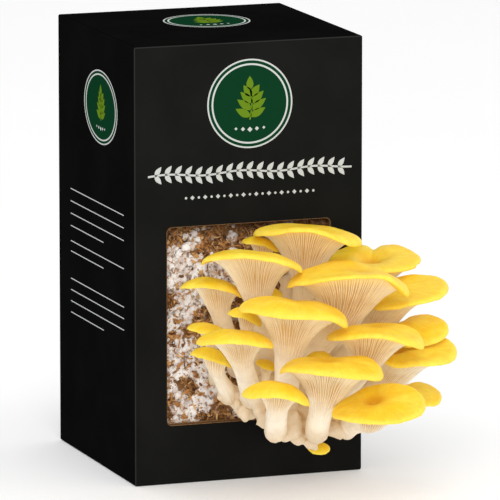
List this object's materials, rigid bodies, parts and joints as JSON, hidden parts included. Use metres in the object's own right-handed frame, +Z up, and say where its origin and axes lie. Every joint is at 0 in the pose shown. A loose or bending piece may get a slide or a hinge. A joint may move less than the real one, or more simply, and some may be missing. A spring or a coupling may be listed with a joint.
{
  "type": "oyster mushroom grow kit",
  "caption": "Upright black card carton with a cut window. Golden oyster mushrooms on a fused base grow out of the straw block inside, with wavy caps and gilled trumpet stems.",
  "frame": {"origin": "centre of the carton's bottom face", "axes": "+Z up, the window and the mushrooms face -Y, +X to the right of the window"},
  "size_m": [0.163, 0.2685, 0.25],
  "materials": {
    "black_board": "matt printed card with bare kraft edges",
    "straw": "rough straw and husk under white mycelium",
    "cap_skin": "smooth satin skin",
    "flesh": "matt fibrous flesh with gills"
  },
  "bodies": {
    "root": {"carton": "black_board", "substrate_block": "straw", "mushroom_base": "flesh", "cap_01": "cap_skin", "cap_02": "cap_skin", "cap_03": "cap_skin", "cap_04": "cap_skin", "cap_05": "cap_skin", "cap_06": "cap_skin", "cap_07": "cap_skin", "cap_08": "cap_skin", "cap_09": "cap_skin", "cap_10": "cap_skin", "cap_11": "cap_skin", "cap_12": "cap_skin", "cap_13": "cap_skin", "cap_14": "cap_skin", "cap_15": "cap_skin", "cap_16": "cap_skin", "cap_17": "cap_skin", "cap_18": "cap_skin", "cap_19": "cap_skin", "cap_20": "cap_skin", "cap_21": "cap_skin", "cap_22": "cap_skin", "cap_23": "cap_skin", "stem_01": "flesh", "stem_02": "flesh", "stem_03": "flesh", "stem_04": "flesh", "stem_05": "flesh", "stem_06": "flesh", "stem_07": "flesh", "stem_08": "flesh", "stem_09": "flesh", "stem_10": "flesh", "stem_11": "flesh", "stem_12": "flesh", "stem_13": "flesh", "stem_14": "flesh", "stem_15": "flesh", "stem_16": "flesh", "stem_17": "flesh", "stem_18": "flesh", "stem_19": "flesh", "stem_20": "flesh", "stem_21": "flesh", "stem_22": "flesh", "stem_23": "flesh"}
  },
  "joints": []
}
